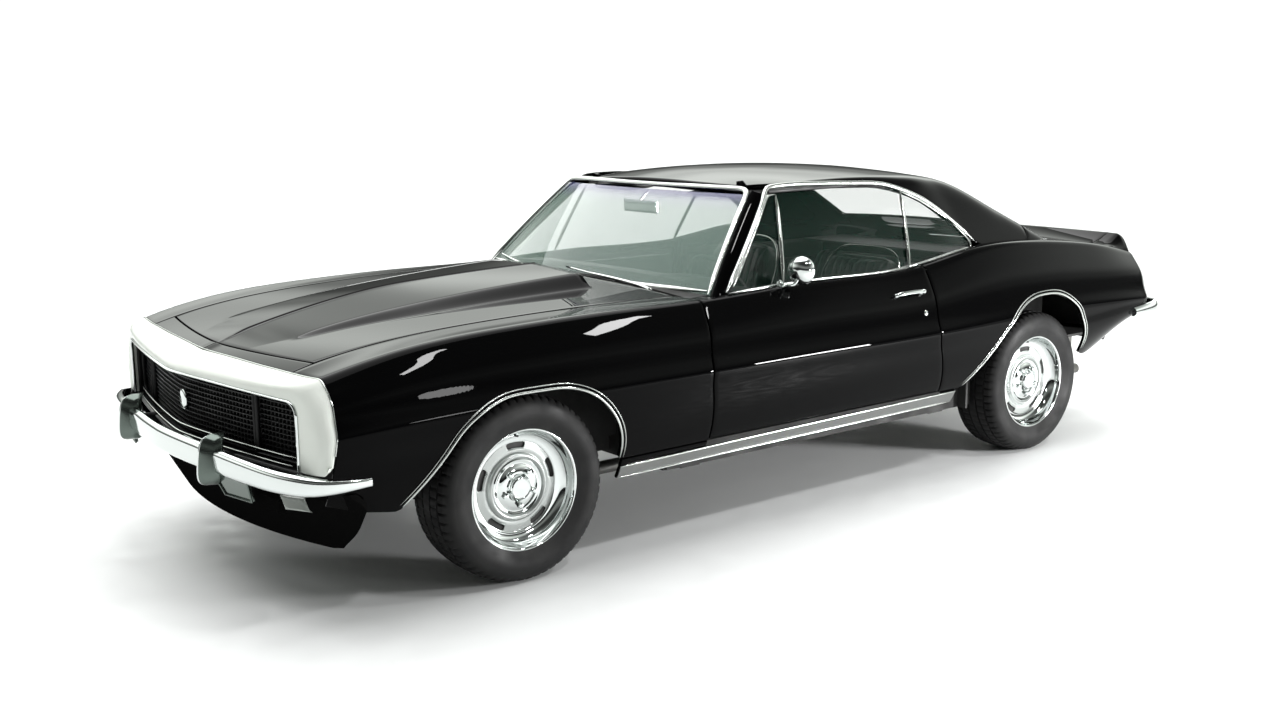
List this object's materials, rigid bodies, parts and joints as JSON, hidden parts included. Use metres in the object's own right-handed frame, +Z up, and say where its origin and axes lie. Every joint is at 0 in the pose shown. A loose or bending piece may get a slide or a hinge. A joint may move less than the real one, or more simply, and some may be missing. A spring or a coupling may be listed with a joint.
{
  "type": "two-door muscle car",
  "caption": "Two-door hardtop coupe with a long hood and raised duct, chrome bumpers, slotted wheels, opening doors, hood and trunk lid.",
  "frame": {"origin": "on the ground under the middle of the car's length and width", "axes": "+X to the rear, +Y to the car's right, +Z up"},
  "size_m": [4.6898, 1.842, 1.3058],
  "materials": {
    "body_black": "gloss",
    "nose_white": "gloss",
    "grille_black": "satin",
    "chrome": "polished",
    "glass": "polished",
    "underbody": "satin",
    "cast_metal": "matte",
    "bare_steel": "satin",
    "seat_cover": "satin",
    "cabin_black": "matte",
    "tyre": "matte",
    "wheel_silver": "satin",
    "lamp_red": "gloss",
    "lamp_clear": "gloss"
  },
  "bodies": {
    "chassis": {"dashboard": "cabin_black", "engine_block": "cast_metal", "exhaust": "bare_steel", "fender_left": "body_black", "fender_right": "body_black", "firewall": "body_black", "floor_pan": "underbody", "front_apron": "body_black", "front_bumper": "chrome", "front_frame": "underbody", "fuel_tank": "bare_steel", "grille": "grille_black", "nose_panel": "nose_white", "quarter_glass_left": "glass", "quarter_glass_right": "glass", "quarter_left": "body_black", "quarter_right": "body_black", "rear_axle": "underbody", "rear_bumper": "chrome", "rear_deck": "body_black", "rear_seat": "seat_cover", "rear_window": "glass", "roof": "body_black", "seat_left": "seat_cover", "seat_right": "seat_cover", "tail_panel": "body_black", "windshield": "glass"},
    "wheel_front_left": {"tyre_front_left": "tyre", "rim_front_left": "wheel_silver"},
    "wheel_front_right": {"tyre_front_right": "tyre", "rim_front_right": "wheel_silver"},
    "wheel_rear_left": {"tyre_rear_left": "tyre", "rim_rear_left": "wheel_silver"},
    "wheel_rear_right": {"tyre_rear_right": "tyre", "rim_rear_right": "wheel_silver"},
    "knuckle_left": {"knuckle_left": "cast_metal"},
    "door_left": {"door_left": "body_black", "door_glass_left": "glass", "mirror_left": "chrome"},
    "knuckle_right": {"knuckle_right": "cast_metal"},
    "door_right": {"door_right": "body_black", "door_glass_right": "glass"},
    "hood": {"hood": "body_black"},
    "trunk_lid": {"trunk_lid": "body_black"},
    "steering_wheel": {"steering_wheel": "cabin_black"}
  },
  "joints": [
    {"name": "steer_left", "type": "hinge", "parent": "chassis", "child": "knuckle_left", "pos_m": [-1.413, -0.655, 0.32], "axis": [0, 0, 1], "range_deg": [-32, 32]},
    {"name": "roll_front_left", "type": "hinge", "parent": "knuckle_left", "child": "wheel_front_left", "pos_m": [-1.413, -0.7495, 0.32], "axis": [0, 1, 0], "continuous": true},
    {"name": "roll_rear_left", "type": "hinge", "parent": "chassis", "child": "wheel_rear_left", "pos_m": [1.333, -0.7495, 0.32], "axis": [0, 1, 0], "continuous": true},
    {"name": "door_left_swing", "type": "hinge", "parent": "chassis", "child": "door_left", "pos_m": [-0.571, -0.903, 0.62], "axis": [0, 0, -1], "range_deg": [0, 65]},
    {"name": "steer_right", "type": "hinge", "parent": "chassis", "child": "knuckle_right", "pos_m": [-1.413, 0.655, 0.32], "axis": [0, 0, 1], "range_deg": [-32, 32]},
    {"name": "roll_front_right", "type": "hinge", "parent": "knuckle_right", "child": "wheel_front_right", "pos_m": [-1.413, 0.7495, 0.32], "axis": [0, 1, 0], "continuous": true},
    {"name": "roll_rear_right", "type": "hinge", "parent": "chassis", "child": "wheel_rear_right", "pos_m": [1.333, 0.7495, 0.32], "axis": [0, 1, 0], "continuous": true},
    {"name": "door_right_swing", "type": "hinge", "parent": "chassis", "child": "door_right", "pos_m": [-0.571, 0.903, 0.62], "axis": [0, 0, 1], "range_deg": [0, 65]},
    {"name": "hood_swing", "type": "hinge", "parent": "chassis", "child": "hood", "pos_m": [-0.54, 0, 0.856], "axis": [0, 1, 0], "range_deg": [0, 50]},
    {"name": "lid_swing", "type": "hinge", "parent": "chassis", "child": "trunk_lid", "pos_m": [1.6, 0, 0.904], "axis": [0, -1, 0], "range_deg": [0, 70]},
    {"name": "steering_wheel_turn", "type": "hinge", "parent": "chassis", "child": "steering_wheel", "pos_m": [-0.14, -0.37, 0.8], "axis": [0.9135, 0, 0.4067], "range_deg": [-512, 512]}
  ],
  "couplings": [
    {"joint": "steer_right", "follows": "steer_left", "ratio": 1},
    {"joint": "steering_wheel_turn", "follows": "steer_left", "ratio": 16}
  ]
}
